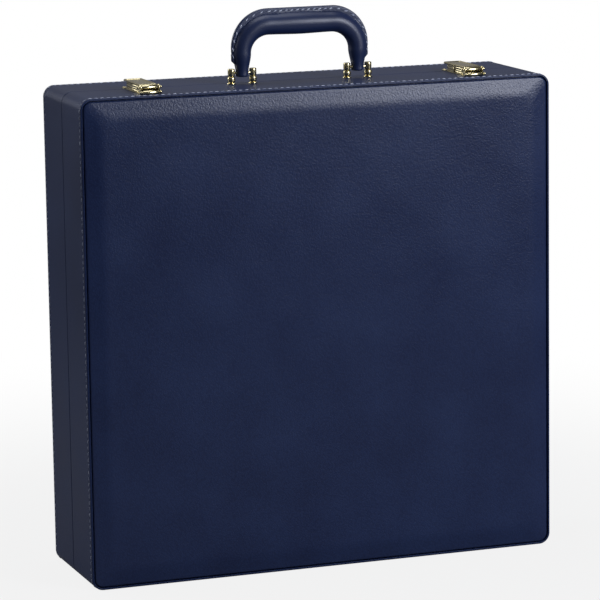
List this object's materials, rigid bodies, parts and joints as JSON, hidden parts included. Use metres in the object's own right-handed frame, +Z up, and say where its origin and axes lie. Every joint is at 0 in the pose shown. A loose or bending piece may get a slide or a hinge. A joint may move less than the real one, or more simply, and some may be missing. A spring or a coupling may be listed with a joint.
{
  "type": "chess piece storage box",
  "caption": "Square attache-style storage box for chess pieces, leather over wood, hinged along the bottom, with a carrying handle and two brass hasps on top.",
  "frame": {"origin": "on the floor under the middle of the closed case", "axes": "+Z up, +Y from the front half, which carries the handle, to the back half, +X along the width"},
  "size_m": [0.457, 0.13, 0.523],
  "materials": {
    "navy_leather": "grained, dyed navy, semi-gloss",
    "wood": "plain sanded plywood and solid wood",
    "velvet": "navy velvet over thin board",
    "brass": "polished and lacquered",
    "steel": "zinc plated",
    "foam_leather": "grained navy leather over thin foam"
  },
  "bodies": {
    "body": {"body_frame": "wood", "body_board": "wood", "body_leather": "navy_leather", "body_padded_panel": "foam_leather", "insert_tray": "velvet", "long_dividers": "velvet", "piece_dividers": "velvet", "pawn_dividers": "velvet", "hinge_leaf_body": "brass", "hinge_screws_body": "brass", "hinge_pin": "steel", "handle_posts": "brass", "handle_pins": "brass", "handle_backing_plates": "steel", "left_latch_base": "brass", "right_latch_base": "brass", "latch_pins": "brass", "latch_rods": "brass", "latch_springs": "steel", "latch_rivets": "brass"},
    "lid": {"lid_frame": "wood", "lid_board": "wood", "lid_leather": "navy_leather", "lid_padded_panel": "foam_leather", "lid_lining": "velvet", "hinge_leaf_lid": "brass", "hinge_screws_lid": "brass", "left_keeper": "brass", "right_keeper": "brass", "keeper_rivets": "brass"},
    "handle": {"handle_grip": "navy_leather", "handle_core": "steel"},
    "left_hasp": {"left_hasp": "brass"},
    "right_hasp": {"right_hasp": "brass"}
  },
  "joints": [
    {"name": "lid_hinge", "type": "hinge", "parent": "body", "child": "lid", "pos_m": [0, 0, 0.0026], "axis": [-1, 0, 0], "range_deg": [0, 100]},
    {"name": "handle_hinge", "type": "hinge", "parent": "body", "child": "handle", "pos_m": [0, -0.008, 0.463], "axis": [1, 0, 0], "range_deg": [-80, 80]},
    {"name": "left_hasp_hinge", "type": "hinge", "parent": "body", "child": "left_hasp", "pos_m": [-0.1585, -0.0455, 0.459], "axis": [1, 0, 0], "range_deg": [0, 100]},
    {"name": "right_hasp_hinge", "type": "hinge", "parent": "body", "child": "right_hasp", "pos_m": [0.1585, -0.0455, 0.459], "axis": [1, 0, 0], "range_deg": [0, 100]}
  ]
}
